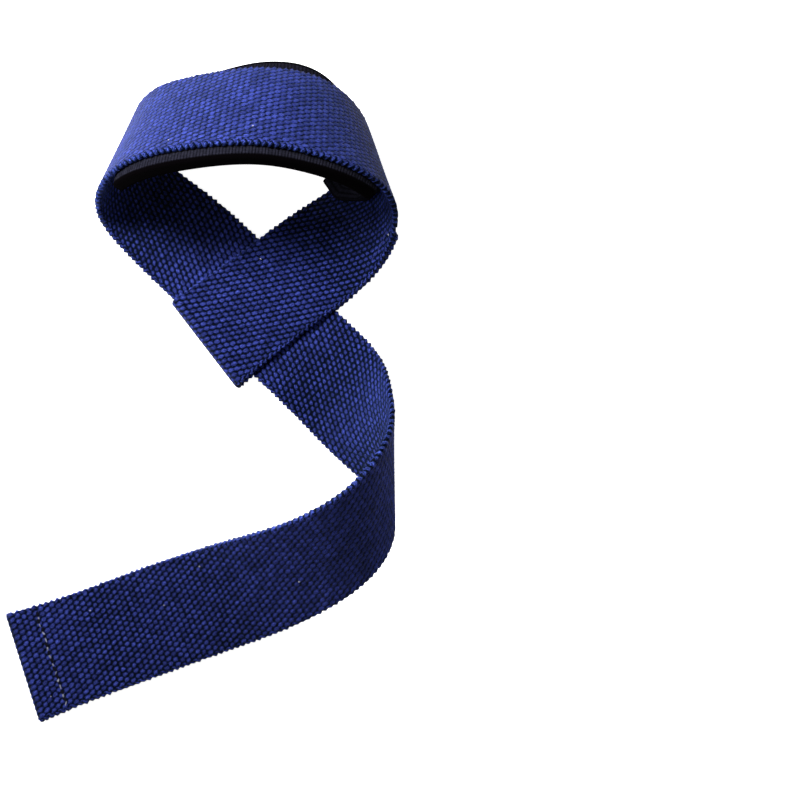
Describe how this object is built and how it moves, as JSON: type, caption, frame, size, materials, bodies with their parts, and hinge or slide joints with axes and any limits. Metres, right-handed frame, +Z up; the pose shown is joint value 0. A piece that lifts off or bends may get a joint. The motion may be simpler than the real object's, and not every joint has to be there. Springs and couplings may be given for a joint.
{
  "type": "lifting strap",
  "caption": "Padded wrist lifting strap of flat woven webbing, laid out with its wrist loop drawn through its own sewn eye and its free tail curled and laid flat.",
  "frame": {"origin": "on the resting surface, under the middle of the crossing where the webbing passes through its eye", "axes": "+Z up from the resting surface, +Y from the tail's side towards the wrist loop, +X to the side that the tail curls out to"},
  "size_m": [0.1412, 0.2275, 0.064],
  "materials": {
    "webbing": "matte woven cotton",
    "pad": "matte ribbed knit"
  },
  "bodies": {
    "root": {"strap": "webbing", "wrist_pad": "pad"}
  },
  "joints": []
}
